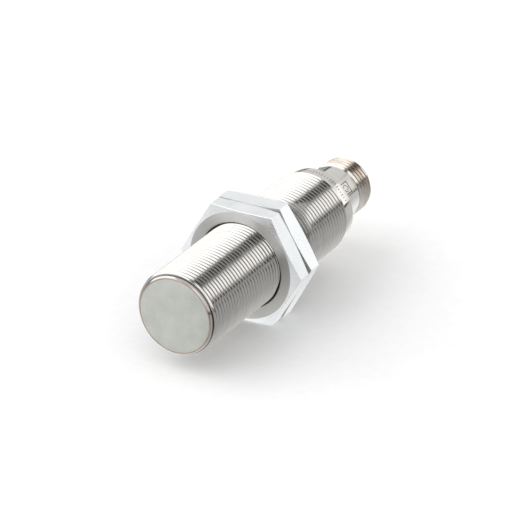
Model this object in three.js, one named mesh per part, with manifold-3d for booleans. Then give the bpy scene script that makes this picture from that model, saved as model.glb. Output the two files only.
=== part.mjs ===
// M18 x 1 inductive proximity sensor with a full-metal body, two hexagon nuts and an M12 plug.
// Millimetres. The origin is the centre of the sensing face, +Y runs along the sensor towards
// the plug, and +Z is up, square to two flats of the front nut.

import * as THREE from 'three';
import { mergeVertices } from 'three/addons/utils/BufferGeometryUtils.js';
import Module from 'manifold-3d';

const wasm = await Module();
wasm.setup();

// ---------------------------------------------------------------- driving dimensions

// Threaded sleeve, M18 x 1. The thread itself is drawn as its crest cylinder.
const bodyThreadDiameter = 18;
const bodyThreadDepth = 0.61;
const wallUnderThread = 0.79;
const sleeveLength = 53.2;
const threadEndChamfer = 0.3;
const rimBevelHeight = 0.55;      // bevel round the sensing face, along the axis
const rimBevelWidth = 0.6;        // and across it
const rimLipWidth = 0.18;         // flat lip between the disc and the bevel
const rimLandHeight = 0.25;       // smooth land behind the bevel, before the thread

// Sensing face, a disc welded into the front of the sleeve
const discThickness = 0.8;
const discSeatWidth = 0.32;       // shoulder that the disc rests on

// Hexagon nuts
const nutAcrossFlats = 24;
const nutThickness = 4;
const nutCountersink = 0.5;
const nutChamferInset = 0.2;      // chamfer circle inside the flats
const nutCornerDrop = 0.5;        // how far the chamfer has fallen at a corner
const frontNutPlace = 25.3;       // front face of the front nut
const rearNutTurn = 1.8;          // degrees, against the front nut

// Plug end, M12 x 1
const plugThreadDiameter = 12;
const plugThreadDepth = 0.61;
const plugWallUnderThread = 0.54;
const plugThreadLength = 5.6;
const plugEndChamfer = 1.0;
const plugEndChamferWidth = 0.6;
const neckStep = 0.1;             // neck below the plug's crests
const neckLength = 6.9;
const neckFlatDepth = 0.21;
const collarLength = 3.5;
const collarEdgeChamfer = 0.2;
const collarFlatDepth = 0.27;
const markingFlatAngle = 37.7;    // degrees from +X towards +Z
const spigotLength = 6;           // part of the plug end inside the sleeve
const spigotChamfer = 0.3;

// Contacts, four pins on one circle
const pinDiameter = 1;
const pinCircleDiameter = 5;
const pinBelowRim = 1.2;
const pinReach = 7.4;             // free length in the recess
const pinTipLength = 0.4;
const solderCupDiameter = 1.4;
const solderCupLength = 1.6;
const carrierWall = 0.5;
const carrierFlangeStep = 0.3;
const carrierFlangeLength = 4.4;
const carrierBelowRim = 0.5;
const keyWidth = 1.1;
const keyHeight = 0.7;

// Seals, both round rings in grooves
const housingGrooveDepth = 0.7;
const housingGrooveWidth = 1.1;
const carrierGrooveDepth = 0.65;
const carrierGrooveWidth = 1.0;
const grooveBehindEnd = 1.8;

// Coil and core behind the sensing face
const holderWall = 0.5;
const holderWebThickness = 1.3;
const coreLength = 6.2;
const coreWall = 1.2;
const coreBackThickness = 1.5;
const corePostDiameter = 5.2;
const bobbinWall = 0.5;
const coilLeadDiameter = 0.5;
const coilLeadInset = 1.9;        // from the core's wall
const coilLeadHeight = 1.3;

// Circuit board and what is on it
const screenThickness = 0.2;
const boardThickness = 1;
const boardCornerCut = 0.8;
const boardEndMargin = 2.6;       // kept for the soldered leads
const wireRoom = 5;               // from the board to the plug end
const pottingThickness = 3.5;
const wireDiameter = 0.9;

// Clearances
const snugFit = 0.05;             // pieces pressed or laid together
const nutThreadPlay = 0.05;       // radial, crest cylinder to nut bore
const looseFit = 0.1;             // pieces dropped in and potted
const wireFit = 0.3;              // leads through holes

// Roundness
const roundSides = 60;
const innerSides = 30;
const smallSides = 12;
const cordSides = 8;              // section of a wire or a seal
const wireSteps = 12;

// ---------------------------------------------------------------- sizes that follow

const crestRadius = bodyThreadDiameter / 2;
const boreRadius = crestRadius - bodyThreadDepth - wallUnderThread;
const discSeatRadius = boreRadius + discSeatWidth;
const discRadius = discSeatRadius - snugFit;
const rimLipRadius = discSeatRadius + rimLipWidth;
const rimLandRadius = rimLipRadius + rimBevelWidth;

const nutBoreRadius = crestRadius + nutThreadPlay;
const rearNutPlace = frontNutPlace + nutThickness + snugFit;

const spigotRadius = boreRadius - snugFit;
const spigotFront = sleeveLength - spigotLength;
const collarFront = sleeveLength + snugFit;
const collarRear = collarFront + collarLength;
const collarRadius = crestRadius - bodyThreadDepth - snugFit;
const plugThreadFront = collarRear + neckLength;
const plugRear = plugThreadFront + plugThreadLength;
const plugRadius = plugThreadDiameter / 2;
const neckRadius = plugRadius - neckStep;
const shellRadius = plugRadius - plugThreadDepth - plugWallUnderThread;

const carrierRadius = shellRadius - snugFit;
const recessRadius = carrierRadius - carrierWall;
const recessFloor = plugRear - pinBelowRim - pinReach;
const carrierFlangeRadius = carrierRadius + carrierFlangeStep;
const carrierBoreRadius = carrierFlangeRadius + snugFit;
const shoulderPlace = collarRear - collarLength / 3;
const flangeRear = shoulderPlace - snugFit;
const flangeFront = flangeRear - carrierFlangeLength;
const solderCupFront = flangeFront - solderCupLength - snugFit;
const pinCircleRadius = pinCircleDiameter / 2;
const pinRadius = pinDiameter / 2;

const stackFront = discThickness + 3 * snugFit;
const coreFront = stackFront + looseFit;
const coreRear = coreFront + coreLength;
const holderRadius = boreRadius - looseFit;
const holderBore = holderRadius - holderWall;
const webFront = coreRear + wireFit;
const holderRear = webFront + holderWebThickness;
const coreRadius = holderBore - looseFit;
const coreCavityRadius = coreRadius - coreWall;
const coreCavityRear = coreRear - coreBackThickness;
const corePostRadius = corePostDiameter / 2;
const coilLeadPlace = coreCavityRadius - coilLeadInset;
const coilLeadHoleRadius = coilLeadDiameter / 2 + wireFit;

const screenFront = holderRear + wireFit;
const screenRear = spigotFront - wireFit;
const screenRadius = boreRadius - looseFit;
const screenBore = screenRadius - screenThickness;
const boardFront = screenFront + 1;
const boardRear = spigotFront - wireRoom;
const boardTop = boardThickness / 2;
const boardHalfWidth = Math.sqrt(screenBore ** 2 - boardTop ** 2) - wireFit;
const pottingRear = spigotFront - wireFit;
const pottingFront = pottingRear - pottingThickness;

// ---------------------------------------------------------------- materials

function metal(color, roughness) {
  return new THREE.MeshStandardMaterial({ color, roughness, metalness: 1 });
}

function nonMetal(color, roughness) {
  return new THREE.MeshStandardMaterial({ color, roughness, metalness: 0 });
}

const materials = {
  turnedStainless: () => metal(0xc9c8c4, 0.25),
  blastedStainless: () => metal(0xc0c2bc, 0.55),
  platedNut: () => metal(0xdfe3e4, 0.35),
  goldPlate: () => metal(0xd8b25a, 0.25),
  copper: () => metal(0xb8703c, 0.35),
  ferrite: () => nonMetal(0x3a3a3c, 0.7),
  blackPlastic: () => nonMetal(0x1c1c1e, 0.5),
  whitePlastic: () => nonMetal(0xd9d8d2, 0.5),
  laminate: () => nonMetal(0x1f6b3a, 0.45),
  chipBody: () => nonMetal(0x242426, 0.55),
  ceramic: () => nonMetal(0xb79b73, 0.5),
  seal: () => nonMetal(0x1a1a1a, 0.8),
  resin: () => nonMetal(0x2b2118, 0.4),
};

// ---------------------------------------------------------------- shaping helpers

// A turned piece round +Y. The outline is [radius, y] points, rising along its outer side.
function turned(outline, sides) {
  const points = outline.map(([radius, y]) => new THREE.Vector2(radius, y));
  return new THREE.LatheGeometry(points, sides);
}

// A turned ring: the outline closes on itself.
function turnedRing(outline, sides) {
  return turned([...outline, outline[0]], sides);
}

// A plain washer or tube between two radii.
function tube(innerRadius, outerRadius, front, rear, sides) {
  return turnedRing([
    [innerRadius, front],
    [outerRadius, front],
    [outerRadius, rear],
    [innerRadius, rear],
  ], sides);
}

// A plain rod round its own axis, parallel to +Y.
function rod(radius, front, rear, x, z, sides) {
  const geometry = new THREE.CylinderGeometry(radius, radius, rear - front, sides);
  geometry.translate(x, (front + rear) / 2, z);
  return geometry;
}

// A block from its centre in X, its front in Y and its underside in Z.
function block(width, length, height, x, front, bottom) {
  const geometry = new THREE.BoxGeometry(width, length, height);
  geometry.translate(x, front + length / 2, bottom + height / 2);
  return geometry;
}

// Points of a small round section, about a centre.
function roundSection(radius, centreX, centreY) {
  const points = [];
  for (let side = 0; side < cordSides; side += 1) {
    const angle = (2 * Math.PI * side) / cordSides;
    points.push([centreX + radius * Math.cos(angle), centreY + radius * Math.sin(angle)]);
  }
  return points;
}

// A round wire along points joined by a smooth curve.
function wire(diameter, points) {
  const section = new THREE.Shape(roundSection(diameter / 2, 0, 0).map(([x, y]) => new THREE.Vector2(x, y)));
  const route = points.map((point) => new THREE.Vector3(...point));
  const path = new THREE.CatmullRomCurve3(route, false, 'centripetal');
  return new THREE.ExtrudeGeometry(section, { steps: wireSteps, extrudePath: path });
}

function toSolid(geometry) {
  const bare = geometry.clone();
  bare.deleteAttribute('normal');
  bare.deleteAttribute('uv');
  const merged = mergeVertices(bare, 1e-4);
  return new wasm.Manifold(new wasm.Mesh({
    numProp: 3,
    vertProperties: new Float32Array(merged.attributes.position.array),
    triVerts: new Uint32Array(merged.index.array),
  }));
}

function toGeometry(solid) {
  const mesh = solid.getMesh();
  const geometry = new THREE.BufferGeometry();
  geometry.setAttribute('position', new THREE.BufferAttribute(new Float32Array(mesh.vertProperties), 3));
  geometry.setIndex(new THREE.BufferAttribute(new Uint32Array(mesh.triVerts), 1));
  geometry.computeVertexNormals();
  return geometry;
}

function cut(geometry, tools) {
  return toGeometry(tools.reduce((solid, tool) => solid.subtract(toSolid(tool)), toSolid(geometry)));
}

function join(geometry, additions) {
  return toGeometry(additions.reduce((solid, extra) => solid.add(toSolid(extra)), toSolid(geometry)));
}

function common(geometry, other) {
  return toGeometry(toSolid(geometry).intersect(toSolid(other)));
}

function piece(name, geometry, material) {
  const mesh = new THREE.Mesh(geometry, material);
  mesh.name = name;
  return mesh;
}

// ---------------------------------------------------------------- housing

function threadedSleeve() {
  const landRear = rimBevelHeight + rimLandHeight;
  const outline = [
    [discSeatRadius, 0],
    [rimLipRadius, 0],
    [rimLandRadius, rimBevelHeight],
    [rimLandRadius, landRear],
    [crestRadius, landRear + threadEndChamfer],
    [crestRadius, sleeveLength - threadEndChamfer],
    [crestRadius - threadEndChamfer, sleeveLength],
    [boreRadius, sleeveLength],
    [boreRadius, discThickness + snugFit],
    [discSeatRadius, discThickness + snugFit],
  ];
  return piece('threaded_sleeve', turnedRing(outline, roundSides), materials.turnedStainless());
}

function sensingFace() {
  const outline = [
    [0, 0],
    [discRadius, 0],
    [discRadius, discThickness],
    [0, discThickness],
  ];
  return piece('sensing_face', turned(outline, roundSides), materials.blastedStainless());
}

// ---------------------------------------------------------------- nuts

function hexPrism() {
  const cornerRadius = nutAcrossFlats / Math.sqrt(3);
  const cornersOnX = Math.PI / 2;
  const prism = new THREE.CylinderGeometry(
    cornerRadius, cornerRadius, nutThickness, 6, 1, false, cornersOnX,
  );
  prism.translate(0, nutThickness / 2, 0);
  return prism;
}

// Double cone that takes the corners off both faces of a nut.
function nutChamferCone() {
  const circle = nutAcrossFlats / 2 - nutChamferInset;
  const corner = nutAcrossFlats / Math.sqrt(3);
  const slope = nutCornerDrop / (corner - circle);
  const outside = corner + nutChamferInset;
  const drop = slope * (outside - circle);
  return turned([
    [0, 0],
    [circle, 0],
    [outside, drop],
    [outside, nutThickness - drop],
    [circle, nutThickness],
    [0, nutThickness],
  ], roundSides);
}

// Bore with a 45 degree countersink at each end, run past both faces.
function nutBore() {
  const past = 1;
  const mouth = nutBoreRadius + nutCountersink + past;
  return turned([
    [0, -past],
    [mouth, -past],
    [nutBoreRadius, nutCountersink],
    [nutBoreRadius, nutThickness - nutCountersink],
    [mouth, nutThickness + past],
    [0, nutThickness + past],
  ], roundSides);
}

function nut(name, place, turn) {
  const hexagon = common(hexPrism(), nutChamferCone());
  const mesh = piece(name, cut(hexagon, [nutBore()]), materials.platedNut());
  mesh.position.y = place;
  mesh.rotation.y = -THREE.MathUtils.degToRad(turn);
  return mesh;
}

// ---------------------------------------------------------------- plug end

// Block that mills a flat at a distance from the axis, facing the marking angle.
function flatCutter(distance, front, rear) {
  const size = 2 * crestRadius;
  const cutter = new THREE.BoxGeometry(size, rear - front, size);
  cutter.translate(distance + size / 2, (front + rear) / 2, 0);
  cutter.rotateY(-THREE.MathUtils.degToRad(markingFlatAngle));
  return cutter;
}

function connectorBody() {
  const grooveFront = spigotFront + grooveBehindEnd;
  const grooveRear = grooveFront + housingGrooveWidth;
  const grooveRadius = spigotRadius - housingGrooveDepth;
  const outline = [
    [carrierBoreRadius, spigotFront],
    [spigotRadius - spigotChamfer, spigotFront],
    [spigotRadius, spigotFront + spigotChamfer],
    [spigotRadius, grooveFront],
    [grooveRadius, grooveFront],
    [grooveRadius, grooveRear],
    [spigotRadius, grooveRear],
    [spigotRadius, collarFront],
    [collarRadius, collarFront],
    [collarRadius, collarRear - collarEdgeChamfer],
    [collarRadius - collarEdgeChamfer, collarRear],
    [neckRadius, collarRear],
    [neckRadius, plugThreadFront],
    [plugRadius, plugThreadFront + neckStep],
    [plugRadius, plugRear - plugEndChamfer],
    [plugRadius - plugEndChamferWidth, plugRear],
    [shellRadius, plugRear],
    [shellRadius, shoulderPlace],
    [carrierBoreRadius, shoulderPlace],
  ];
  const past = 0.5;
  const flats = [
    flatCutter(collarRadius - collarFlatDepth, collarFront - past, collarRear + past),
    flatCutter(neckRadius - neckFlatDepth, collarRear, plugThreadFront),
  ];
  return piece('connector_body', cut(turnedRing(outline, roundSides), flats), materials.turnedStainless());
}

function pinPlaces() {
  const diagonal = Math.PI / 4;
  return [0, 1, 2, 3].map((quarter) => {
    const angle = diagonal + (quarter * Math.PI) / 2;
    return [pinCircleRadius * Math.cos(angle), pinCircleRadius * Math.sin(angle)];
  });
}

function contactCarrier() {
  const grooveFront = flangeFront + (carrierFlangeLength - carrierGrooveWidth) / 2;
  const grooveRadius = carrierFlangeRadius - carrierGrooveDepth;
  const rim = plugRear - carrierBelowRim;
  const outline = [
    [0, flangeFront],
    [carrierFlangeRadius, flangeFront],
    [carrierFlangeRadius, grooveFront],
    [grooveRadius, grooveFront],
    [grooveRadius, grooveFront + carrierGrooveWidth],
    [carrierFlangeRadius, grooveFront + carrierGrooveWidth],
    [carrierFlangeRadius, flangeRear],
    [carrierRadius, flangeRear],
    [carrierRadius, rim],
    [recessRadius, rim],
    [recessRadius, recessFloor],
    [0, recessFloor],
  ];
  const halfWall = carrierWall / 2;
  const key = block(
    keyWidth, rim - recessFloor, keyHeight + halfWall,
    0, recessFloor - halfWall, recessRadius - keyHeight,
  );
  const holes = pinPlaces().map(([x, z]) => (
    rod(pinRadius + snugFit, flangeFront - 1, recessFloor + 1, x, z, smallSides)
  ));
  const cup = join(turned(outline, innerSides), [key]);
  return piece('contact_carrier', cut(cup, holes), materials.blackPlastic());
}

function contactPin(number, x, z) {
  const cupRear = solderCupFront + solderCupLength;
  const tip = plugRear - pinBelowRim;
  const outline = [
    [0, solderCupFront],
    [solderCupDiameter / 2, solderCupFront],
    [solderCupDiameter / 2, cupRear],
    [pinRadius, cupRear],
    [pinRadius, tip - pinTipLength],
    [pinRadius * 0.6, tip - pinTipLength / 4],
    [0, tip],
  ];
  const mesh = piece(`contact_pin_${number}`, turned(outline, smallSides), materials.goldPlate());
  mesh.position.set(x, 0, z);
  return mesh;
}

// A round rubber ring that nearly fills the groove between two radii.
function sealRing(name, innerRadius, outerRadius, middle) {
  const cordRadius = (outerRadius - innerRadius) / 2 - snugFit;
  const outline = roundSection(cordRadius, (outerRadius + innerRadius) / 2, middle);
  return piece(name, turnedRing(outline, innerSides), materials.seal());
}

function seals() {
  const housingMiddle = spigotFront + grooveBehindEnd + housingGrooveWidth / 2;
  const carrierMiddle = flangeFront + carrierFlangeLength / 2;
  return [
    sealRing('housing_seal', spigotRadius - housingGrooveDepth, boreRadius, housingMiddle),
    sealRing('carrier_seal', carrierFlangeRadius - carrierGrooveDepth, carrierBoreRadius, carrierMiddle),
  ];
}

// ---------------------------------------------------------------- coil and core

function coilLeadHoles(front, rear) {
  return [-1, 1].map((side) => (
    rod(coilLeadHoleRadius, front, rear, side * coilLeadPlace, coilLeadHeight, smallSides)
  ));
}

function coreHolder() {
  const outline = [
    [0, webFront],
    [holderBore, webFront],
    [holderBore, stackFront],
    [holderRadius, stackFront],
    [holderRadius, holderRear],
    [0, holderRear],
  ];
  const cup = cut(turned(outline, innerSides), coilLeadHoles(webFront - 1, holderRear + 1));
  return piece('core_holder', cup, materials.whitePlastic());
}

function ferriteCore() {
  const outline = [
    [0, coreFront],
    [corePostRadius, coreFront],
    [corePostRadius, coreCavityRear],
    [coreCavityRadius, coreCavityRear],
    [coreCavityRadius, coreFront],
    [coreRadius, coreFront],
    [coreRadius, coreRear],
    [0, coreRear],
  ];
  const pot = cut(turned(outline, innerSides), coilLeadHoles(coreCavityRear - 1, coreRear + 1));
  return piece('ferrite_core', pot, materials.ferrite());
}

function coilBobbin() {
  const front = coreFront + looseFit;
  const rear = coreCavityRear - looseFit;
  const bore = corePostRadius + looseFit;
  const flange = coreCavityRadius - looseFit;
  const hub = bore + bobbinWall;
  const outline = [
    [bore, front],
    [flange, front],
    [flange, front + bobbinWall],
    [hub, front + bobbinWall],
    [hub, rear - bobbinWall],
    [flange, rear - bobbinWall],
    [flange, rear],
    [bore, rear],
  ];
  return piece('coil_bobbin', turnedRing(outline, innerSides), materials.whitePlastic());
}

function coilWinding() {
  const front = coreFront + looseFit + bobbinWall + snugFit;
  const rear = coreCavityRear - looseFit - bobbinWall - snugFit;
  const inner = corePostRadius + looseFit + bobbinWall + snugFit;
  const outer = coreCavityRadius - 2 * looseFit;
  return piece('coil_winding', tube(inner, outer, front, rear, innerSides), materials.copper());
}

function coilLead(name, side) {
  const x = side * coilLeadPlace;
  const soldered = boardTop + coilLeadDiameter / 2 + snugFit;
  const points = [
    [x, coreCavityRear + snugFit, coilLeadHeight],
    [x, webFront, coilLeadHeight],
    [x, holderRear, coilLeadHeight],
    [x, boardFront, (coilLeadHeight + soldered) / 2 + snugFit],
    [x, boardFront + boardEndMargin / 3, soldered],
    [x, boardFront + (boardEndMargin * 2) / 3, soldered],
  ];
  return piece(name, wire(coilLeadDiameter, points), materials.copper());
}

// ---------------------------------------------------------------- electronics

function screeningSleeve() {
  return piece('screening_sleeve', tube(screenBore, screenRadius, screenFront, screenRear, innerSides),
    materials.copper());
}

function circuitBoard() {
  const w = boardHalfWidth;
  const c = boardCornerCut;
  const outline = new THREE.Shape([
    [-w + c, boardFront],
    [w - c, boardFront],
    [w, boardFront + c],
    [w, boardRear - c],
    [w - c, boardRear],
    [-w + c, boardRear],
    [-w, boardRear - c],
    [-w, boardFront + c],
  ].map(([x, y]) => new THREE.Vector2(x, y)));
  const board = new THREE.ExtrudeGeometry(outline, { depth: boardThickness, bevelEnabled: false });
  board.translate(0, 0, -boardTop);
  return piece('circuit_board', board, materials.laminate());
}

// Middle of one of the equal rows that the board is divided into, front to rear.
function boardRow(row, rows) {
  const usable = boardRear - boardFront - 2 * boardEndMargin;
  return boardFront + boardEndMargin + ((row + 0.5) * usable) / rows;
}

// A moulded package with bent legs along both sides, lying on the board.
function leggedChip(width, length, height, legs, legWidth, legReach) {
  const legThickness = 0.25;
  const body = block(width, length, height, 0, -length / 2, legThickness);
  const pitch = length / legs;
  const feet = [];
  for (const side of [-1, 1]) {
    for (let leg = 0; leg < legs; leg += 1) {
      const front = -length / 2 + (leg + 0.5) * pitch - legWidth / 2;
      const shank = legReach + legThickness;
      feet.push(block(shank, legWidth, height / 2, side * (width / 2 + legReach / 2), front, 0));
    }
  }
  return join(body, feet);
}

// A ceramic chip component with its two end caps, lying on the board.
function endCappedChip(width, length, height) {
  const capLength = length / 5;
  const capProud = 0.08;
  const body = block(width - 2 * capProud, length, height - capProud, 0, -length / 2, capProud);
  const caps = [-length / 2, length / 2 - capLength].map((front) => (
    block(width, capLength, height + capProud, 0, front, 0)
  ));
  return join(body, caps);
}

// Puts a component on the upper (side 1) or lower (side -1) face of the board.
function onBoard(name, geometry, material, x, y, side) {
  const mesh = piece(name, geometry, material);
  mesh.position.set(x, y, side * (boardTop + snugFit));
  if (side < 0) mesh.rotation.y = Math.PI;
  return mesh;
}

function boardComponents() {
  const rows = 4;
  const chip = () => leggedChip(3.8, 4.2, 1.4, 4, 0.5, 0.9);
  const transistor = () => leggedChip(3.2, 3.6, 1.5, 2, 0.8, 0.9);
  const diode = () => leggedChip(2.6, 3.4, 1.8, 1, 1.4, 0.8);
  const capacitor = () => endCappedChip(2.5, 3.2, 1.6);
  const resistor = () => endCappedChip(1.6, 3.2, 0.7);
  const aside = boardHalfWidth / 2;
  return [
    onBoard('oscillator_capacitor', capacitor(), materials.ceramic(), -aside, boardRow(0, rows), 1),
    onBoard('adjustment_resistor', resistor(), materials.chipBody(), aside, boardRow(0, rows), 1),
    onBoard('control_chip', chip(), materials.chipBody(), 0, boardRow(1, rows), 1),
    onBoard('output_transistor', transistor(), materials.chipBody(), 0, boardRow(2, rows), 1),
    onBoard('protection_diode', diode(), materials.chipBody(), 0, boardRow(3, rows), 1),
    onBoard('feedback_resistor', resistor(), materials.chipBody(), aside, boardRow(1, rows), -1),
    onBoard('filter_capacitor', capacitor(), materials.ceramic(), 0, boardRow(2, rows), -1),
  ];
}

// Wire from a pin's solder cup, straight through the resin, down to a pad on the board.
function pinWire(name, color, [x, z]) {
  const side = Math.sign(z);
  const soldered = boardTop + wireDiameter / 2 + snugFit;
  const points = [
    [x, solderCupFront - snugFit, z],
    [x, pottingRear, z],
    [x, pottingFront, z],
    [x, boardRear, (z + side * soldered) / 2 + side * snugFit],
    [x, boardRear - boardEndMargin / 3, side * soldered],
    [x, boardRear - (boardEndMargin * 2) / 3, side * soldered],
  ];
  return piece(name, wire(wireDiameter, points), nonMetal(color, 0.5));
}

function pottingResin() {
  const plug = tube(0.5, screenBore - looseFit, pottingFront, pottingRear, innerSides);
  const holes = pinPlaces().map(([x, z]) => (
    rod(wireDiameter / 2 + wireFit, pottingFront - 1, pottingRear + 1, x, z, smallSides)
  ));
  return piece('potting_resin', cut(plug, holes), materials.resin());
}

// ---------------------------------------------------------------- assembly

const pins = pinPlaces();

const sensor = new THREE.Group();
sensor.name = 'proximity_sensor';
sensor.add(
  threadedSleeve(),
  sensingFace(),
  coreHolder(),
  ferriteCore(),
  coilBobbin(),
  coilWinding(),
  coilLead('coil_lead_left', -1),
  coilLead('coil_lead_right', 1),
  screeningSleeve(),
  circuitBoard(),
  ...boardComponents(),
  pottingResin(),
  connectorBody(),
  contactCarrier(),
  ...pins.map(([x, z], index) => contactPin(index + 1, x, z)),
  pinWire('supply_wire', 0x6b4226, pins[0]),
  pinWire('output_wire', 0x1b1b1b, pins[1]),
  pinWire('return_wire', 0x2a4fa0, pins[2]),
  ...seals(),
  nut('front_nut', frontNutPlace, 0),
  nut('rear_nut', rearNutPlace, rearNutTurn),
);

export default sensor;
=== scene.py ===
import bpy
import math
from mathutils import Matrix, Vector


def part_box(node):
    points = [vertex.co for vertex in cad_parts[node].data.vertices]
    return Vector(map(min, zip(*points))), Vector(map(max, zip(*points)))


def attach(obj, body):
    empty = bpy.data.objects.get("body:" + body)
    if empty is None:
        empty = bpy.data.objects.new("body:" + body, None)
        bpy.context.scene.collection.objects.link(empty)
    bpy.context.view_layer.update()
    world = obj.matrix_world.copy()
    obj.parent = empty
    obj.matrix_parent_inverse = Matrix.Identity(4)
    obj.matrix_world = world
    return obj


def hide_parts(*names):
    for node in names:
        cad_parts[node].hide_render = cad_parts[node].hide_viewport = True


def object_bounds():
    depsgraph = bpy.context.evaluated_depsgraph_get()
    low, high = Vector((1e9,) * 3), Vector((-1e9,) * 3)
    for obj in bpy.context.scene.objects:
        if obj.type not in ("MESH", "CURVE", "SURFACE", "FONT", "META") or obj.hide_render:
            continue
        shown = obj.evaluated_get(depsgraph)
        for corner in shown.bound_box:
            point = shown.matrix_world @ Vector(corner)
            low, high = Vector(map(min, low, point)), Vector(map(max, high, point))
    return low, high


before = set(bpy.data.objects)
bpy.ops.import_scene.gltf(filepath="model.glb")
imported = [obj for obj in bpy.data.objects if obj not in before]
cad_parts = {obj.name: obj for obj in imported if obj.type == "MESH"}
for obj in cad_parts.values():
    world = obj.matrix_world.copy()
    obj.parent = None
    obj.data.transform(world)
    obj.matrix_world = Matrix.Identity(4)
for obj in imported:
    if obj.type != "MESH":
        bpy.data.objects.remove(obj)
cadLow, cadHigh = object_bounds()
print("frame loaded", len(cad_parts), "nodes")

mm = 0.001
fullTurn = 2 * math.pi
doubleGap = 0.0005 * mm      # points nearer to each other than this are one point


# selection, and what every piece goes through

def clearSelection():
    if bpy.context.mode != "OBJECT":
        bpy.ops.object.mode_set(mode="OBJECT")
    bpy.ops.object.select_all(action="DESELECT")


def pick(piece):
    clearSelection()
    piece.select_set(True)
    bpy.context.view_layer.objects.active = piece


def editAll(piece):
    pick(piece)
    bpy.ops.object.mode_set(mode="EDIT")
    bpy.ops.mesh.select_all(action="SELECT")


def settle(piece):   # place, turn and size go into the mesh
    pick(piece)
    bpy.ops.object.transform_apply(location=True, rotation=True, scale=True)


def closeUp(piece):   # merges doubles and turns every face outwards
    editAll(piece)
    bpy.ops.mesh.remove_doubles(threshold=doubleGap)
    bpy.ops.mesh.normals_make_consistent(inside=False)
    bpy.ops.object.mode_set(mode="OBJECT")


def applyModifier(piece, kind, **settings):
    pick(piece)
    modifier = piece.modifiers.new(kind.title(), kind)
    for key, value in settings.items():
        setattr(modifier, key, value)
    bpy.ops.object.modifier_apply(modifier=modifier.name)


def combine(piece, tool, operation):   # the tool is used up
    applyModifier(piece, "BOOLEAN", object=tool, operation=operation, solver="MANIFOLD")
    bpy.data.objects.remove(tool, do_unlink=True)


edgeSet = {"segments": 2, "sharperThan": 30}     # how finely a bevel rounds, and which edges, in degrees


def softenEdges(piece, width):
    applyModifier(piece, "BEVEL", width=width * mm, segments=edgeSet["segments"], limit_method="ANGLE",
                  angle_limit=math.radians(edgeSet["sharperThan"]), harden_normals=False)


def smooth(piece, angle=30):
    pick(piece)
    bpy.ops.object.shade_smooth_by_angle(angle=math.radians(angle))


# outlines are [radius, y] in mm, drawn on the +Z side of the sensor's axis

def drawOutline(name, outline):
    clearSelection()
    radius, y = outline[0]
    bpy.ops.mesh.primitive_plane_add(size=mm, location=(0, y * mm, radius * mm))
    piece = bpy.context.object
    piece.name = name
    editAll(piece)
    bpy.ops.mesh.merge(type="CENTER")
    for (radius, y), (nextRadius, nextY) in zip(outline, outline[1:]):
        step = (0, (nextY - y) * mm, (nextRadius - radius) * mm)
        bpy.ops.mesh.extrude_region_move(TRANSFORM_OT_translate={"value": step})
    settle(piece)
    return piece


def arc(radius, y, width, height, start, end, steps):   # part of an ellipse in an outline, angles in degrees
    angles = [math.radians(start + (end - start) * k / steps) for k in range(steps + 1)]
    return [(radius + width * math.cos(angle), y + height * math.sin(angle)) for angle in angles]


def turnOutline(name, outline, steps=128):
    piece = drawOutline(name, outline)
    editAll(piece)
    bpy.ops.mesh.spin(steps=steps, angle=fullTurn, center=(0, 0, 0), axis=(0, 1, 0))
    closeUp(piece)
    return piece


# both threads are fine ones of the same pitch, M18 x 1 and M12 x 1, with grooves of nearly 60 degrees:
# sizes in mm, where the mouth's width is at the distance that the cutter reaches over the crests,
# and phase is how far the sleeve's groove is past each whole mm at the top
thread = {"pitch": 1.0, "depth": 0.613, "rootWidth": 0.167, "over": 0.06, "mouthWidth": 0.97,
          "phase": 0.35, "steps": 96}


def threadCutter(inner, innerWidth, outer, outerWidth, front, turns):
    # a ridge wound round the axis, right-handed: what a thread takes out of a blank or out of a bore
    cutter = drawOutline("threadCutter", [
        (inner, front - innerWidth / 2), (inner, front + innerWidth / 2),
        (outer, front + outerWidth / 2), (outer, front - outerWidth / 2), (inner, front - innerWidth / 2),
    ])
    closeUp(cutter)
    applyModifier(cutter, "SCREW", axis="Y", angle=fullTurn, steps=thread["steps"],
                  render_steps=thread["steps"], iterations=turns, screw_offset=thread["pitch"] * mm,
                  use_merge_vertices=False, use_smooth_shade=False)
    editAll(cutter)
    bpy.ops.mesh.remove_doubles(threshold=doubleGap)
    bpy.ops.mesh.select_all(action="SELECT")
    bpy.ops.mesh.fill_holes(sides=4)
    bpy.ops.mesh.select_all(action="SELECT")
    bpy.ops.mesh.normals_make_consistent(inside=False)
    bpy.ops.object.mode_set(mode="OBJECT")
    return cutter


def cutOuterThread(piece, crestRadius, front, turns):
    groove = threadCutter(crestRadius - thread["depth"], thread["rootWidth"],
                          crestRadius + thread["over"], thread["mouthWidth"], front, turns)
    combine(piece, groove, "DIFFERENCE")


# materials: a Mix node's sockets go by number, first those for colours and then those for plain values

mixFactor, mixFirst, mixSecond, mixResult = 0, 6, 7, 2
mixFirstValue, mixSecondValue = 2, 3


def colour(hexValue):   # sRGB to linear
    parts = [int(hexValue[k:k + 2], 16) / 255 for k in (1, 3, 5)]
    linear = [c / 12.92 if c <= 0.04045 else ((c + 0.055) / 1.055) ** 2.4 for c in parts]
    return (*linear, 1)


def addNode(tree, kind, settings=None, links=None):   # a link from a whole node is from its first output
    node = tree.nodes.new(kind)
    for key, value in (settings or {}).items():
        if isinstance(key, int) or key in node.inputs:
            node.inputs[key].default_value = value
        else:
            setattr(node, key, value)
    for key, source in (links or {}).items():
        output = source.outputs[0] if isinstance(source, bpy.types.Node) else source
        tree.links.new(output, node.inputs[key])
    return node


def newMaterial(name, settings):
    material = bpy.data.materials.new(name)
    material.use_nodes = True
    tree = material.node_tree
    shader = tree.nodes["Principled BSDF"]
    for key, value in settings.items():
        shader.inputs[key].default_value = value
    return material, tree, shader


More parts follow.
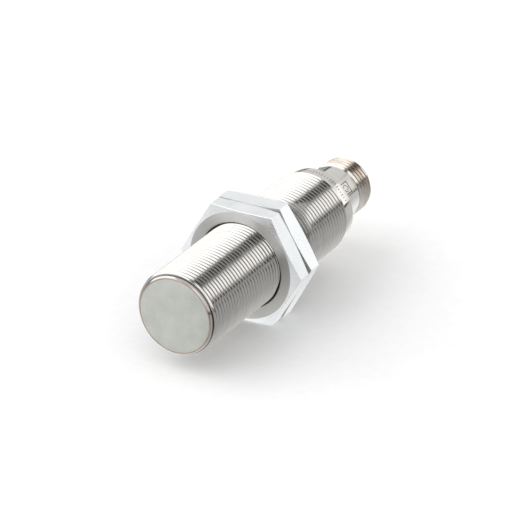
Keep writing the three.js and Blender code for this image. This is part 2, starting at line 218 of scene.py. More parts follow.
def lathePlace(tree, share):
    # distance from the axis, place along it and a small share of the place across it: a pattern on these
    # is stretched into rings, as a lathe leaves them
    place = addNode(tree, "ShaderNodeTexCoord").outputs["Object"]
    x, y, z = addNode(tree, "ShaderNodeSeparateXYZ", links={0: place}).outputs
    outwards = addNode(tree, "ShaderNodeCombineXYZ", links={"X": x, "Z": z}).outputs[0]
    radius = addNode(tree, "ShaderNodeVectorMath", {"operation": "LENGTH"}, {0: outwards}).outputs["Value"]
    across = addNode(tree, "ShaderNodeMath", {"operation": "MULTIPLY", 1: share}, {0: x})
    rings = addNode(tree, "ShaderNodeCombineXYZ", links={"X": radius, "Y": y, "Z": across}).outputs[0]
    return {"place": place, "y": y, "radius": radius, "outwards": outwards, "rings": rings}


# sizes in mm: a lathe tool's marks are some 0.05 mm apart, too fine to show, so they are drawn coarser
# the dark root colour, how much of it at most and how far up it reaches are painted shade in the thread's
# roots
turnedSet = {"marks": 0.12, "cloud": 4, "height": 0.004, "ringShare": 0.02,
             "paintedRootShade": "#504b45", "paintedRootShadeMost": 0.8, "paintedRootShadeReach": 0.3, "rimGap": (0.03, 0.01)}


def turnedSteel(name, dark, light, root, gloss, tint=None):
    # stainless steel turned on a lathe: bright, with fine rings that stretch each highlight,
    # and darker at the root of its thread, where shade is painted into the colour
    t = turnedSet
    material, tree, shader = newMaterial(name, {"Metallic": 1})
    lathe = lathePlace(tree, t["ringShare"])
    marks = addNode(tree, "ShaderNodeTexNoise", {
        "Scale": 1 / (t["marks"] * mm), "Detail": 3, "Roughness": 0.6,
    }, {"Vector": lathe["rings"]})
    cloud = addNode(tree, "ShaderNodeTexNoise", {
        "Scale": 1 / (t["cloud"] * mm), "Detail": 3,
    }, {"Vector": lathe["place"]})
    shade = addNode(tree, "ShaderNodeMapRange", {"From Min": 0.25, "From Max": 0.75}, {"Value": marks})
    tone = addNode(tree, "ShaderNodeMix", {
        "data_type": "RGBA", mixFirst: colour(dark), mixSecond: colour(light),
    }, {mixFactor: shade})
    # painted shade thins out from the root upwards, and what lies under the root, such as a rim, has none
    outOfRoot = addNode(tree, "ShaderNodeMapRange", {
        "From Min": root * mm, "From Max": (root + t["paintedRootShadeReach"]) * mm,
        "To Min": t["paintedRootShadeMost"], "To Max": 0,
    }, {"Value": lathe["radius"]})
    notUnder = addNode(tree, "ShaderNodeMapRange", {
        "From Min": (root - t["rimGap"][0]) * mm, "From Max": (root - t["rimGap"][1]) * mm,
    }, {"Value": lathe["radius"]})
    paintedRootShade = addNode(tree, "ShaderNodeMath", {"operation": "MULTIPLY"}, {0: outOfRoot, 1: notUnder})
    tone = addNode(tree, "ShaderNodeMix", {
        "data_type": "RGBA", mixSecond: colour(t["paintedRootShade"]),
    }, {mixFactor: paintedRootShade, mixFirst: tone.outputs[mixResult]})
    # on the sleeve's rim this brown is partly real heat tint and partly painted shade
    if tint:   # heat tint: straw to brown, in patches, from nothing at one place to most at another
        onwards = addNode(tree, "ShaderNodeMapRange", {
            "From Min": tint["none"] * mm, "From Max": tint["full"] * mm, "To Max": tint["most"],
        }, {"Value": lathe["y"]})
        patches = addNode(tree, "ShaderNodeMapRange", {
            "From Min": 0.35, "From Max": 0.6, "To Min": 0.25,
        }, {"Value": cloud})
        amount = addNode(tree, "ShaderNodeMath", {"operation": "MULTIPLY"}, {0: onwards, 1: patches})
        tone = addNode(tree, "ShaderNodeMix", {
            "data_type": "RGBA", mixSecond: colour(tint["colour"]),
        }, {mixFactor: amount, mixFirst: tone.outputs[mixResult]})
    rough = addNode(tree, "ShaderNodeMapRange", {
        "From Min": 0.3, "From Max": 0.7, "To Min": gloss[0], "To Max": gloss[1],
    }, {"Value": cloud})
    bump = addNode(tree, "ShaderNodeBump", {
        "Strength": 0.25, "Distance": t["height"] * mm,
    }, {"Height": marks})
    tree.links.new(tone.outputs[mixResult], shader.inputs["Base Color"])
    tree.links.new(rough.outputs[0], shader.inputs["Roughness"])
    tree.links.new(bump.outputs[0], shader.inputs["Normal"])
    return material


grainedSet = {"cloudPerGrain": 12, "roughnessSpread": 0.1}


def grainedSurface(name, dark, light, roughness, metallic=0.0, grain=0.3, depth=0.005, strength=0.3):
    # even grain over a slow cloud, for ground, plated, moulded, cast and fired surfaces: grain and depth are
    # in mm, and the grain is coarser than the real one, which is 0.01 to 0.05 mm and wouldn't show
    material, tree, shader = newMaterial(name, {"Metallic": metallic})
    place = addNode(tree, "ShaderNodeTexCoord").outputs["Object"]
    fine = addNode(tree, "ShaderNodeTexNoise", {"Scale": 1 / (grain * mm), "Detail": 4}, {"Vector": place})
    cloudWidth = grainedSet["cloudPerGrain"] * grain * mm
    cloud = addNode(tree, "ShaderNodeTexNoise", {"Scale": 1 / cloudWidth, "Detail": 3}, {"Vector": place})
    both = addNode(tree, "ShaderNodeMath", {"operation": "ADD"}, {0: fine, 1: cloud})
    shade = addNode(tree, "ShaderNodeMapRange", {"From Min": 0.7, "From Max": 1.3}, {"Value": both})
    tone = addNode(tree, "ShaderNodeMix", {
        "data_type": "RGBA", mixFirst: colour(dark), mixSecond: colour(light),
    }, {mixFactor: shade})
    spread = grainedSet["roughnessSpread"]
    rough = addNode(tree, "ShaderNodeMapRange", {
        "From Min": 0.3, "From Max": 0.7,
        "To Min": roughness * (1 - spread), "To Max": min(1, roughness * (1 + spread)),
    }, {"Value": cloud})
    bump = addNode(tree, "ShaderNodeBump", {"Strength": strength, "Distance": depth * mm}, {"Height": fine})
    tree.links.new(tone.outputs[mixResult], shader.inputs["Base Color"])
    tree.links.new(rough.outputs[0], shader.inputs["Roughness"])
    tree.links.new(bump.outputs[0], shader.inputs["Normal"])
    return material


# sizes in mm: facing marks are also some 0.05 mm apart and drawn coarser
facedSet = {"dark": "#cccbc8", "light": "#e4e3e0", "marks": 0.1, "height": 0.004, "ringShare": 0.01,
            "roughness": (0.46, 0.52)}


def facedSteel():
    # plated steel faced on a lathe: its rings throw light sideways only, which makes bright and dark sectors
    f = facedSet
    material, tree, shader = newMaterial("facedPlatedSteel", {"Metallic": 1, "Anisotropic": 1})
    lathe = lathePlace(tree, f["ringShare"])
    marks = addNode(tree, "ShaderNodeTexNoise", {
        "Scale": 1 / (f["marks"] * mm), "Detail": 3,
    }, {"Vector": lathe["rings"]})
    shade = addNode(tree, "ShaderNodeMapRange", {"From Min": 0.3, "From Max": 0.7}, {"Value": marks})
    tone = addNode(tree, "ShaderNodeMix", {
        "data_type": "RGBA", mixFirst: colour(f["dark"]), mixSecond: colour(f["light"]),
    }, {mixFactor: shade})
    low, high = f["roughness"]
    rough = addNode(tree, "ShaderNodeMapRange", {
        "From Min": 0.3, "From Max": 0.7, "To Min": low, "To Max": high,
    }, {"Value": marks})
    bump = addNode(tree, "ShaderNodeBump", {"Strength": 0.3, "Distance": f["height"] * mm}, {"Height": marks})
    tree.links.new(tone.outputs[mixResult], shader.inputs["Base Color"])
    tree.links.new(rough.outputs[0], shader.inputs["Roughness"])
    tree.links.new(lathe["outwards"], shader.inputs["Tangent"])
    tree.links.new(bump.outputs[0], shader.inputs["Normal"])
    return material


def finishPiece(piece, materials, body, slot, *nodes):
    settle(piece)
    piece.data.materials.clear()
    for material in materials:
        piece.data.materials.append(material)
    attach(piece, body)
    if nodes:
        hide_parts(*nodes)
    triangles = sum(len(face.vertices) - 2 for face in piece.data.polygons)
    print(piece.name, triangles, "triangles")


# the camera stands to the right of the sensing face and a little above:
# angles in degrees, distances in m, lens and sensor in mm

cameraSet = {"azimuth": 30.24, "elevation": 26.77, "distance": 1.0241, "lens": 358.96, "sensor": 36,
             "aim": (0.00027, 0.0312, -0.00033), "near": 0.05, "far": 20}


def setCamera():
    a = math.radians(cameraSet["azimuth"])
    e = math.radians(cameraSet["elevation"])
    back = Vector((math.sin(a) * math.cos(e), -math.cos(a) * math.cos(e), math.sin(e)))
    clearSelection()
    bpy.ops.object.camera_add(location=Vector(cameraSet["aim"]) + back * cameraSet["distance"])
    camera = bpy.context.object
    camera.rotation_euler = (-back).to_track_quat("-Z", "Y").to_euler()
    camera.data.lens = cameraSet["lens"]
    camera.data.sensor_width = cameraSet["sensor"]
    camera.data.clip_start = cameraSet["near"]
    camera.data.clip_end = cameraSet["far"]
    bpy.context.scene.camera = camera


setCamera()
print("camera set")

# a white tent round the table, as the lights and gaps that steel reflects:
# azimuth 0 is in front of the sensing face and 90 on the right, both angles in degrees

tent = {
    "base": 1.0,
    "edge": 4,
    "panels": [
        {"azimuth": (-115, -3), "elevation": (4, 62), "level": 2.2},
        {"azimuth": (11, 62), "elevation": (4, 62), "level": 1.8},
        {"azimuth": (-4, 12), "elevation": (4, 50), "level": 0.06},
        {"azimuth": (115, 157), "elevation": (1, 14), "level": 1.2},
        {"azimuth": (115, 157), "elevation": (14, 27), "level": 1.7},
        {"azimuth": (157, 171), "elevation": (32, 46), "level": 0.7},
        {"azimuth": (-180, 180), "elevation": (-90, 3.5), "level": 0.03},
    ],
    "seen": 1.0,     # what the camera sees behind the table
}


def windowMask(tree, value, low, high, edge):   # 1 between two values, with soft edges
    rise = addNode(tree, "ShaderNodeMapRange", {
        "interpolation_type": "SMOOTHSTEP", "From Min": low - edge, "From Max": low + edge,
    }, {"Value": value})
    fall = addNode(tree, "ShaderNodeMapRange", {
        "interpolation_type": "SMOOTHSTEP", "From Min": high - edge, "From Max": high + edge,
        "To Min": 1, "To Max": 0,
    }, {"Value": value})
    return addNode(tree, "ShaderNodeMath", {"operation": "MULTIPLY"}, {0: rise, 1: fall})


def setTent():
    world = bpy.data.worlds.new("studioTent")
    bpy.context.scene.world = world
    world.use_nodes = True
    tree = world.node_tree
    way = addNode(tree, "ShaderNodeTexCoord").outputs["Generated"]
    x, y, z = addNode(tree, "ShaderNodeSeparateXYZ", links={0: way}).outputs
    front = addNode(tree, "ShaderNodeMath", {"operation": "MULTIPLY", 1: -1.0}, {0: y})
    azimuth = addNode(tree, "ShaderNodeMath", {"operation": "ARCTAN2"}, {0: x, 1: front})
    elevation = addNode(tree, "ShaderNodeMath", {"operation": "ARCSINE"}, {0: z})
    edge = math.radians(tent["edge"])
    level = addNode(tree, "ShaderNodeValue")
    level.outputs[0].default_value = tent["base"]
    for panel in tent["panels"]:
        low, high = (math.radians(angle) for angle in panel["azimuth"])
        aside = windowMask(tree, azimuth, low, high, edge)
        low, high = (math.radians(angle) for angle in panel["elevation"])
        up = windowMask(tree, elevation, low, high, edge)
        mask = addNode(tree, "ShaderNodeMath", {"operation": "MULTIPLY"}, {0: aside, 1: up})
        level = addNode(tree, "ShaderNodeMix", {mixSecondValue: panel["level"]},
                        {mixFactor: mask, mixFirstValue: level})
    direct = addNode(tree, "ShaderNodeLightPath").outputs["Is Camera Ray"]
    level = addNode(tree, "ShaderNodeMix", {mixSecondValue: tent["seen"]},
                    {mixFactor: direct, mixFirstValue: level})
    background = tree.nodes["Background"]
    background.inputs["Color"].default_value = (1, 1, 1, 1)
    tree.links.new(level.outputs[0], background.inputs["Strength"])
    bpy.context.scene.view_settings.view_transform = "Standard"


setTent()

tableSet = {"radius": 400, "gap": 0.01, "paper": ("#e4e4e4", "#e8e8e8", 0.9), "paperGrain": 2}
# the card's light: places in mm and levels, with a shaded right side and a dark corner behind on the left
cardSet = {"front": (-20, 1.0), "back": (90, 1.4), "right": (2, 18), "rightShare": 0.58,
           "cornerLeft": (-12, -18), "cornerBack": (15, 25), "cornerShare": 0.4}


def setTable(name, gap, material):
    clearSelection()
    bpy.ops.mesh.primitive_circle_add(vertices=96, radius=tableSet["radius"] * mm, fill_type="NGON",
                                      location=(0, cadHigh.y / 2, cadLow.z - gap * mm))
    table = bpy.context.object
    table.name = name
    settle(table)
    table.data.materials.append(material)
    return table


def glowingCard():
    # a lit white card, dimmer towards the front
    material, tree, shader = newMaterial("glowingCard", {
        "Base Color": (0, 0, 0, 1), "Specular IOR Level": 0, "Emission Color": (1, 1, 1, 1),
    })
    place = addNode(tree, "ShaderNodeTexCoord").outputs["Object"]
    x, y = addNode(tree, "ShaderNodeSeparateXYZ", links={0: place}).outputs[:2]
    (front, dim), (back, bright) = cardSet["front"], cardSet["back"]
    glow = addNode(tree, "ShaderNodeMapRange", {
        "From Min": front * mm, "From Max": back * mm, "To Min": dim, "To Max": bright,
    }, {"Value": y})
    low, high = cardSet["right"]
    aside = addNode(tree, "ShaderNodeMapRange", {
        "From Min": low * mm, "From Max": high * mm, "To Min": 1, "To Max": cardSet["rightShare"],
    }, {"Value": x})
    low, high = cardSet["cornerLeft"]
    left = addNode(tree, "ShaderNodeMapRange", {
        "From Min": high * mm, "From Max": low * mm, "To Min": 1 - cardSet["cornerShare"], "To Max": 0,
    }, {"Value": x})
    low, high = cardSet["cornerBack"]
    behind = addNode(tree, "ShaderNodeMapRange", {"From Min": low * mm, "From Max": high * mm}, {"Value": y})
    corner = addNode(tree, "ShaderNodeMath", {"operation": "MULTIPLY"}, {0: left, 1: behind})
    lit = addNode(tree, "ShaderNodeMath", {"operation": "SUBTRACT", 0: 1.0}, {1: corner})
    for share in (aside, lit):
        glow = addNode(tree, "ShaderNodeMath", {"operation": "MULTIPLY"}, {0: glow, 1: share})
    tree.links.new(glow.outputs[0], shader.inputs["Emission Strength"])
    return material


# pressed white paper: pale and even, with no reflections
paper = grainedSurface("whiteStudioPaper", *tableSet["paper"], grain=tableSet["paperGrain"])
whiteTable = setTable("whiteTable", 2 * tableSet["gap"], paper)
whiteTable.visible_glossy = False
# what the steel reflects from below is a lit card that nothing else sees
lightCard = setTable("lightCard", tableSet["gap"], glowingCard())
lightCard.visible_camera = False
lightCard.visible_diffuse = False
lightCard.visible_shadow = False
print("tent and table set")

# threaded sleeve, M18 x 1

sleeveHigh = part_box("threaded_sleeve")[1]
crest = sleeveHigh.x / mm
sleeveEnd = sleeveHigh.y / mm
sleeveSize = {
    "seatRadius": 7.92, "seatDepth": 0.85, "lipRadius": 8.08, "rimRadius": 8.38, "rim": 0.46, "rimStep": 0.06,
    "reliefRadius": 8.12, "threadStart": 0.8, "startRise": 0.33, "startChamfer": 0.28,
    "bore": 7.6, "endChamfer": 0.3, "edge": 0.04,
}


def threadedSleeve():
    s = sleeveSize
    startRadius = crest - thread["depth"] + s["startRise"]
    sleeve = turnOutline("threadedSleeve", [
        (s["seatRadius"], 0), (s["lipRadius"], 0), (s["rimRadius"], s["rim"]),
        (s["reliefRadius"], s["rim"] + s["rimStep"]), (s["reliefRadius"], s["threadStart"]),
        (startRadius, s["threadStart"]), (crest, s["threadStart"] + s["startChamfer"]),
        (crest, sleeveEnd - s["endChamfer"]), (crest - s["endChamfer"], sleeveEnd),
        (s["bore"], sleeveEnd), (s["bore"], s["seatDepth"]), (s["seatRadius"], s["seatDepth"]),
        (s["seatRadius"], 0),
    ])
    softenEdges(sleeve, s["edge"])
    cutOuterThread(sleeve, crest, thread["phase"], round(sleeveEnd) + 1)
    smooth(sleeve)
    return sleeve


rimHeatTintAndShade = {"none": 0.3, "full": 0.0, "most": 0.7, "colour": "#8a7160"}     # places along the sensor in mm
# mirror bright, with the brown of the weld's heat on the rim, laid on strong enough that it also stands as
# painted shade on the rim's bevel
threadSteel = turnedSteel("turnedStainlessSteel", "#b2b0ad", "#c8c6c3", crest - thread["depth"], (0.08, 0.14),
                          rimHeatTintAndShade)
finishPiece(threadedSleeve(), [threadSteel], "housing", "stainless_turned", "threaded_sleeve")

# sensing face, and the weld that holds it in the sleeve

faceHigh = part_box("sensing_face")[1]
faceEdge = 0.02
weldSize = {"inside": 0.03, "outside": 0.1, "proud": 0.018, "deep": 0.1, "steps": 256}


def sensingFace():
    radius, depth = faceHigh.x / mm, faceHigh.y / mm
    disc = turnOutline("sensingFace", [(0, 0), (radius, 0), (radius, depth), (0, depth)])
    softenEdges(disc, faceEdge)
    smooth(disc)
    return disc


def weldBead():
    w = weldSize
    inner, outer = faceHigh.x / mm - w["inside"], faceHigh.x / mm + w["outside"]
    middle, half = (inner + outer) / 2, (outer - inner) / 2
    crown = arc(middle, 0, half, w["proud"], start=180, end=360, steps=6)
    bead = turnOutline("weldBead", crown + [(middle, w["deep"]), crown[0]], w["steps"])
    smooth(bead, angle=60)
    return bead


# stainless sheet, fine ground: an even grey that shows no clear reflection
faceSteel = grainedSurface("fineGroundStainlessSteel", "#b4b6b0", "#c9cac5", 0.5, 1, grain=0.25, depth=0.004)
# stainless steel, laser welded and left as it cooled: a thin rippled line in straw brown
weldSteel = grainedSurface("heatTintedSteel", "#8d7465", "#b49a88", 0.35, 1, grain=0.3, depth=0.02)
finishPiece(sensingFace(), [faceSteel], "housing", "stainless_matt", "sensing_face")
finishPiece(weldBead(), [weldSteel], "housing", "stainless_matt")

# the two nuts, 24 mm across flats: turn is how far each stands from a flat underneath, in degrees

nutSize = {"acrossFlats": 24.0, "mouth": 9.42, "minorRadius": 8.5, "chamferInset": 0.42, "cornerDrop": 0.5,
           "chamferSteps": 180, "over": 1, "edge": 0.07, "turn": {"front_nut": 0, "rear_nut": 1.8}}
# their thread is a groove that each crest of the sleeve runs in, with room all round it
nutThread = {"under": 0.56, "mouthWidth": 0.864, "gap": 0.05, "rootWidth": 0.16}
nutPaint = {"ringOver": 0.1, "boreOver": 0.03, "endFace": 0.99, "innerSide": 0.9}


def nutHexagon(name, front, rear, corner, turn):
    clearSelection()
    bpy.ops.mesh.primitive_cylinder_add(vertices=6, radius=corner * mm, depth=(rear - front) * mm,
                                        location=(0, (front + rear) / 2 * mm, 0),
                                        rotation=(math.radians(90), 0, 0))
    piece = bpy.context.object
    piece.name = name
    settle(piece)
    piece.rotation_euler.y = math.radians(30 - turn)
    settle(piece)
    return piece


def chamferCorners(piece, front, rear, corner):
    n = nutSize
    circle = n["acrossFlats"] / 2 - n["chamferInset"]
    reach = corner + n["over"]
    drop = n["cornerDrop"] * (reach - circle) / (corner - circle)
    combine(piece, turnOutline("chamferCone", [
        (0, front), (circle, front), (reach, front + drop), (reach, rear - drop), (circle, rear), (0, rear),
    ], n["chamferSteps"]), "INTERSECT")


def boreNut(piece, front, rear):   # countersunk from both ends at 45 degrees
    mouth, bore, over = nutSize["mouth"], nutSize["minorRadius"], nutSize["over"]
    slant = mouth - bore
    combine(piece, turnOutline("nutBore", [
        (0, front - over), (mouth + over, front - over), (bore, front + slant), (bore, rear - slant),
        (mouth + over, rear + over), (0, rear + over),
    ], thread["steps"]), "DIFFERENCE")


def nut(name, node):
    low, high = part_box(node)
    front, rear = low.y / mm, high.y / mm
    corner = nutSize["acrossFlats"] / math.sqrt(3)
    piece = nutHexagon(name, front, rear, corner, nutSize["turn"][node])
    chamferCorners(piece, front, rear, corner)
    boreNut(piece, front, rear)
    softenEdges(piece, nutSize["edge"])
    closeUp(piece)
    t = nutThread
    firstTurn = math.floor(front) - thread["pitch"] / 2 + thread["phase"]   # between the sleeve's grooves
    groove = threadCutter(crest - t["under"], t["mouthWidth"], crest + t["gap"], t["rootWidth"],
                          firstTurn, round(rear - front) + 2)
    combine(piece, groove, "DIFFERENCE")
    smooth(piece, angle=12)
    return piece


def paintNut(piece, inward):
    # slot 0 the flats, slot 1 the faced rings and the whole side towards the other nut, where the darker,
    # duller steel is painted shade in the gap between the nuts, slot 2 the bore
    ringReach = (nutSize["acrossFlats"] / 2 - nutSize["chamferInset"] + nutPaint["ringOver"]) * mm
    boreReach = (nutSize["mouth"] + nutPaint["boreOver"]) * mm
    for face in piece.data.polygons:
        corners = [piece.data.vertices[index].co for index in face.vertices]
        reach = max(math.hypot(corner.x, corner.z) for corner in corners)
        towardsOther = face.normal.y * inward
        if reach < boreReach:
            face.material_index = 2
        # the side towards the other nut, chamfers too, takes the darker faced steel as painted shade in the
        # gap
        elif towardsOther > nutPaint["innerSide"]:
            face.material_index = 1
        elif towardsOther < -nutPaint["endFace"] and reach < ringReach:
            face.material_index = 1


# steel bar, bright plated: pale flats with a soft sheen and a faint cloudiness
flatSteel = grainedSurface("brightPlatedBarSteel", "#dde0e1", "#eceeef", 0.28, 1, grain=0.35, depth=0.001)
ringSteel = facedSteel()
# steel cut by a tap and left bare: greyer and less shiny than what is turned
boreSteel = turnedSteel("tappedSteel", "#a8a49e", "#c4c1bb", nutSize["minorRadius"], (0.25, 0.35))
for nutName, node, inward in (("frontNut", "front_nut", 1), ("rearNut", "rear_nut", -1)):
    piece = nut(nutName, node)
    finishPiece(piece, [flatSteel, ringSteel, boreSteel], node, "nut_steel", node)
    paintNut(piece, inward)
print("sleeve, face and nuts done")

# plug end: collar, neck and M12 x 1 shell, with a milled flat for marking on the collar and on the neck

plugLow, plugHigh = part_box("connector_body")
plugSize = {
    "spigotRadius": 7.55, "carrierBore": 5.15, "shoulder": 55.58, "sealGroove": (49.0, 50.1, 6.85),
    "gap": 0.05, "collarRadius": 8.34, "collarLength": 3.5, "collarChamfer": 0.2,
    "neckLength": 6.9, "neckStep": 0.1, "neckFillet": 0.25, "shellRadius": 4.85, "crest": 6.0,
    "relief": 0.5, "reliefChamfer": 0.15, "threadChamfer": 0.4, "firstGroove": 0.3,
    "endChamfer": 1.0, "endChamferWidth": 0.6, "edge": 0.06,
    "flatAngle": 37.7, "collarFlat": 8.07, "neckFlat": 5.69, "flatOver": 0.5, "cutterWidth": 8,
}


def milledFlat(piece, distance, front, rear):
    clearSelection()
    width = plugSize["cutterWidth"]
    angle = math.radians(plugSize["flatAngle"])
    out = (distance + width / 2) * mm
    place = (out * math.cos(angle), (front + rear) / 2 * mm, out * math.sin(angle))
    bpy.ops.mesh.primitive_cube_add(size=mm, location=place, rotation=(0, -angle, 0))
    block = bpy.context.object
    block.scale = (width, rear - front, 2 * width)
    settle(block)
    combine(piece, block, "DIFFERENCE")


def connectorBody():
    p = plugSize
    start, end = plugLow.y / mm, plugHigh.y / mm
    collarFront = sleeveEnd + p["gap"]
    collarRear = collarFront + p["collarLength"]
    threadFront = collarRear + p["neckLength"]
    neck = p["crest"] - p["neckStep"]
    root = p["crest"] - thread["depth"]
    grooveFront, grooveRear, grooveRadius = p["sealGroove"]
    body = turnOutline("connectorBody", [
        (p["carrierBore"], start), (p["spigotRadius"], start),
        (p["spigotRadius"], grooveFront), (grooveRadius, grooveFront), (grooveRadius, grooveRear),
        (p["spigotRadius"], grooveRear), (p["spigotRadius"], collarFront),
        (p["collarRadius"], collarFront), (p["collarRadius"], collarRear - p["collarChamfer"]),
        (p["collarRadius"] - p["collarChamfer"], collarRear),
        (neck + p["neckFillet"], collarRear), (neck, collarRear + p["neckFillet"]), (neck, threadFront),
        (root, threadFront + p["reliefChamfer"]), (root, threadFront + p["relief"]),
        (p["crest"], threadFront + p["relief"] + p["threadChamfer"]),
        (p["crest"], end - p["endChamfer"]), (p["crest"] - p["endChamferWidth"], end),
        (p["shellRadius"], end), (p["shellRadius"], p["shoulder"]), (p["carrierBore"], p["shoulder"]),
        (p["carrierBore"], start),
    ])
    milledFlat(body, p["collarFlat"], collarFront - p["flatOver"], collarRear + p["flatOver"])
    milledFlat(body, p["neckFlat"], collarRear, threadFront)
    softenEdges(body, p["edge"])
    closeUp(body)
    cutOuterThread(body, p["crest"], threadFront + p["firstGroove"], round(end - threadFront) + 1)
    smooth(body)
    return body


# the tint starts 6 mm before the plug's end and is full 3 mm before it
threadTint = {"none": plugHigh.y / mm - 6, "full": plugHigh.y / mm - 3, "most": 0.62, "colour": "#8a7256"}
# a finer cut, so a little lighter, and straw brown where its thread ends
plugSteel = turnedSteel("turnedStainlessSteelPlug", "#bebbb6", "#d4d2ce",
                        plugSize["crest"] - thread["depth"], (0.1, 0.16), threadTint)
finishPiece(connectorBody(), [plugSteel], "housing", "stainless_turned", "connector_body")
print("metal body done")

# contact carrier and its four pins

carrierLow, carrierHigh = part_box("contact_carrier")
carrierSize = {"radius": 4.8, "recess": 4.3, "flange": 5.1, "flangeRear": 55.53, "floor": 60.65,
               "sealGroove": (52.83, 53.83, 4.45), "edge": 0.08, "steps": 96,
               "keyWidth": 1.1, "keyHeight": 0.7, "keyInset": 0.15, "keySink": 0.4,
               "hole": 0.55, "holeDepth": 40}
pinSize = {"radius": 0.5, "cupRadius": 0.7, "cupLength": 1.6, "round": 0.35, "steps": 32}


def pinPlaces():
    centres = [sum(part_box("contact_pin_%d" % number), Vector()) / 2 for number in (1, 2, 3, 4)]
    return [(c.x / mm, c.z / mm) for c in centres]


def codingKey(rim):
    c = carrierSize
    place = (0, (c["floor"] + rim) / 2 * mm, c["recess"] * mm)
    clearSelection()
    bpy.ops.mesh.primitive_cube_add(size=mm, location=place)
    key = bpy.context.object
    key.scale = (c["keyWidth"], rim - c["floor"] + c["keySink"], 2 * c["keyHeight"])
    key.location.y -= c["keySink"] / 2 * mm
    key.location.z -= c["keyInset"] * mm
    settle(key)
    return key


def pinHole(x, z):
    c = carrierSize
    place = (x * mm, c["floor"] * mm, z * mm)
    clearSelection()
    bpy.ops.mesh.primitive_cylinder_add(vertices=pinSize["steps"], radius=c["hole"] * mm,
                                        depth=c["holeDepth"] * mm, location=place,
                                        rotation=(math.radians(90), 0, 0))
    hole = bpy.context.object
    settle(hole)
    return hole


def contactCarrier():
    c = carrierSize
    front, rim = carrierLow.y / mm, carrierHigh.y / mm
    grooveFront, grooveRear, grooveRadius = c["sealGroove"]
    carrier = turnOutline("contactCarrier", [
        (0, front), (c["flange"], front), (c["flange"], grooveFront), (grooveRadius, grooveFront),
        (grooveRadius, grooveRear), (c["flange"], grooveRear), (c["flange"], c["flangeRear"]),
        (c["radius"], c["flangeRear"]), (c["radius"], rim), (c["recess"], rim),
        (c["recess"], c["floor"]), (0, c["floor"]),
    ], c["steps"])
    combine(carrier, codingKey(rim), "UNION")
    for x, z in pinPlaces():
        combine(carrier, pinHole(x, z), "DIFFERENCE")
    softenEdges(carrier, c["edge"])
    closeUp(carrier)
    smooth(carrier)
    return carrier


def contactPin(number, x, z):
    p = pinSize
    low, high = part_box("contact_pin_%d" % number)
    back, tip = low.y / mm, high.y / mm
    cupEnd = back + p["cupLength"]
    roundTip = arc(0, tip - p["round"], p["radius"], p["round"], start=0, end=90, steps=5)
    pin = turnOutline("contactPin%d" % number, [
        (0, back), (p["cupRadius"], back), (p["cupRadius"], cupEnd), (p["radius"], cupEnd),
    ] + roundTip, p["steps"])
    pin.location = (x * mm, 0, z * mm)
    settle(pin)
    smooth(pin, angle=40)
    return pin


# polyamide, moulded in a spark-eroded tool: near black, with a fine even dullness
carrierPlastic = grainedSurface("mouldedBlackPolyamide", "#17181a", "#232427", 0.45, grain=0.2, depth=0.01)
# brass, turned and gold plated: warm and bright, only slightly soft
gold = grainedSurface("goldPlatedBrass", "#d2a24c", "#e6be6c", 0.22, 1, grain=0.2, depth=0.002)
finishPiece(contactCarrier(), [carrierPlastic], "housing", "black_plastic", "contact_carrier")
for number, (x, z) in enumerate(pinPlaces(), start=1):
    finishPiece(contactPin(number, x, z), [gold], "housing", "gold_contact", "contact_pin_%d" % number)
print("contacts done")

# laser marks: a plain scale of ticks round the collar, and on the neck's flat the general sign for a
# proximity switch, a diamond in a square

markSize = {"thick": 0.012, "tickWidth": 0.13, "tick": 0.55, "longTick": 0.95, "longEvery": 3, "ticks": 19,
            "firstAngle": 22, "spacing": 4.6, "place": 55.2, "signPlace": 60.4, "square": 2.4, "line": 0.2,
            "diamondSide": 0.36, "diamondLine": 0.8, "diamondOverlap": 1.3}


def markBlock(x, y, width, length, turn, distance, angle):
    # a thin plate at a distance from the axis: x runs across it, y along the sensor, turn is in its own plane
    clearSelection()
    bpy.ops.mesh.primitive_cube_add(size=mm)
    plate = bpy.context.object
    plate.scale = (markSize["thick"], length, width)
    settle(plate)
    plate.rotation_euler = (math.radians(turn), 0, 0)
    settle(plate)
    plate.location = (distance * mm, y * mm, x * mm)
    settle(plate)
    plate.rotation_euler = (0, -math.radians(angle), 0)
    settle(plate)
    return plate


def joinPlates(name, plates):
    clearSelection()
    for plate in plates:
        plate.select_set(True)
    bpy.context.view_layer.objects.active = plates[0]
    bpy.ops.object.join()
    plates[0].name = name
    return plates[0]


def collarScale():
    m, p = markSize, plugSize
    plates = []
    for tick in range(m["ticks"]):
        angle = m["firstAngle"] + tick * m["spacing"]
        length = m["longTick"] if tick % m["longEvery"] == 0 else m["tick"]
        aside = math.radians(angle - p["flatAngle"])
        across, distance = 0, p["collarRadius"]
        if p["collarRadius"] * math.cos(aside) > p["collarFlat"]:   # it falls on the flat
            across, distance, angle = p["collarFlat"] * math.tan(aside), p["collarFlat"], p["flatAngle"]
        plates.append(markBlock(across, m["place"], m["tickWidth"], length, 0, distance, angle))
    return joinPlates("collarScale", plates)


def neckSign():
    m, p = markSize, plugSize
    half = m["square"] / 2
    side = m["square"] * m["diamondSide"]
    bars = [(x, 0, m["line"], m["square"] + m["line"], 0) for x in (-half, half)]
    bars += [(0, y, m["square"] - m["line"], m["line"], 0) for y in (-half, half)]
    for x, y in ((-1, -1), (1, 1), (-1, 1), (1, -1)):
        bars.append((x * side / 2, y * side / 2, m["line"] * m["diamondLine"], side * m["diamondOverlap"],
                     -45 * x * y))
    plates = [markBlock(x, m["signPlace"] + y, width, length, turn, p["neckFlat"], p["flatAngle"])
              for x, y, width, length, turn in bars]
    return joinPlates("neckSign", plates)


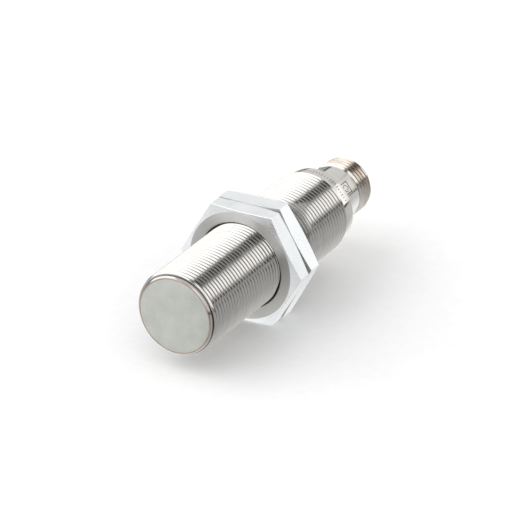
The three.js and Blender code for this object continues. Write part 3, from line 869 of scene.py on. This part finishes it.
# stainless steel, darkened by a laser: matt brown, a little uneven
markSteel = grainedSurface("laserDarkenedSteel", "#4d3a2e", "#77604e", 0.5, 0.6, grain=0.15, depth=0.004)
finishPiece(collarScale(), [markSteel], "housing", "stainless_turned")
finishPiece(neckSign(), [markSteel], "housing", "stainless_turned")
print("marks done")

# what is inside keeps its plain shape and gets its finish: two colours, roughness and, on metal, metallic

insideFinish = {
    # injection moulded: creamy and dull
    "mouldedWhitePolymer": (("#cfcdc4", "#dedcd4", 0.5), ("core_holder", "coil_bobbin")),
    # pressed and sintered: dark grey, with a dry, stony look
    "sinteredFerrite": (("#2e2e30", "#454548", 0.7), ("ferrite_core",)),
    # drawn copper under clear enamel: a deep shiny orange brown
    "enamelledCopperWire": (("#a35a28", "#cf8248", 0.3, 0.9),
                            ("coil_winding", "coil_lead_left", "coil_lead_right")),
    # rolled foil: pinkish metal with a satin sheen
    "rolledCopperFoil": (("#b4703f", "#cf8e5c", 0.35, 1), ("screening_sleeve",)),
    # glass laminate under solder mask: half-gloss green
    "solderMaskedLaminate": (("#17552f", "#237044", 0.4), ("circuit_board",)),
    # transfer moulded round the chips: charcoal and finely matt
    "mouldedEpoxy": (("#1c1c1e", "#2c2c2f", 0.55),
                     ("control_chip", "output_transistor", "protection_diode", "adjustment_resistor",
                      "feedback_resistor")),
    # fired in layers: tan and dull as eggshell
    "firedCeramic": (("#a1835c", "#bd9d76", 0.5), ("oscillator_capacitor", "filter_capacitor")),
    # cast and cured in place: dark amber brown with some gloss
    "castEpoxyResin": (("#241c14", "#33281d", 0.35), ("potting_resin",)),
    # extruded round the strands: smooth soft plastic in the usual three colours
    "brownWireInsulation": (("#54321d", "#6d452b", 0.5), ("supply_wire",)),
    "blackWireInsulation": (("#121212", "#1f1f1f", 0.5), ("output_wire",)),
    "blueWireInsulation": (("#1f3f86", "#2f56a8", 0.5), ("return_wire",)),
    # compression moulded: black and nearly without gloss
    "mouldedNitrileRubber": (("#0f0f10", "#1c1c1d", 0.75), ("housing_seal", "carrier_seal")),
}
for name, (finish, nodes) in insideFinish.items():
    material = grainedSurface(name, *finish)
    for node in nodes:
        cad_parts[node].material_slots[0].material = material
print("inside done")
